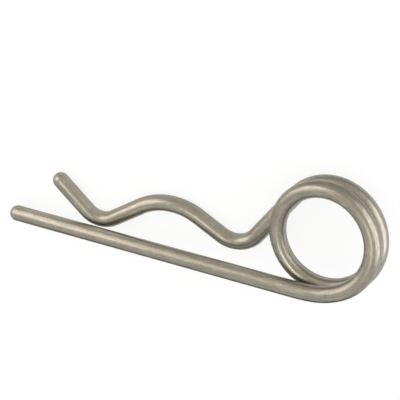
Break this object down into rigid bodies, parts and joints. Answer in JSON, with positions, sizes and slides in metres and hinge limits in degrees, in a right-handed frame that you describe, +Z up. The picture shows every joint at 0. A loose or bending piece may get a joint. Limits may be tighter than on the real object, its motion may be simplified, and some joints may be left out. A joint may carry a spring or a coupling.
{
  "type": "hitch r clip pin",
  "caption": "Round spring wire bent into a straight leg, a double coil and a wavy leg that snaps over a shaft.",
  "frame": {"origin": "where the axis of the coil meets the floor that the clip rests on", "axes": "+Z up from the floor; -X along the straight leg towards its tip, seen from above; the wavy leg lies on the +Y side of it"},
  "size_m": [0.0976, 0.0286, 0.0154],
  "materials": {
    "spring_wire": "satin drawn stainless spring wire"
  },
  "bodies": {
    "root": {"spring_wire": "spring_wire"}
  },
  "joints": []
}
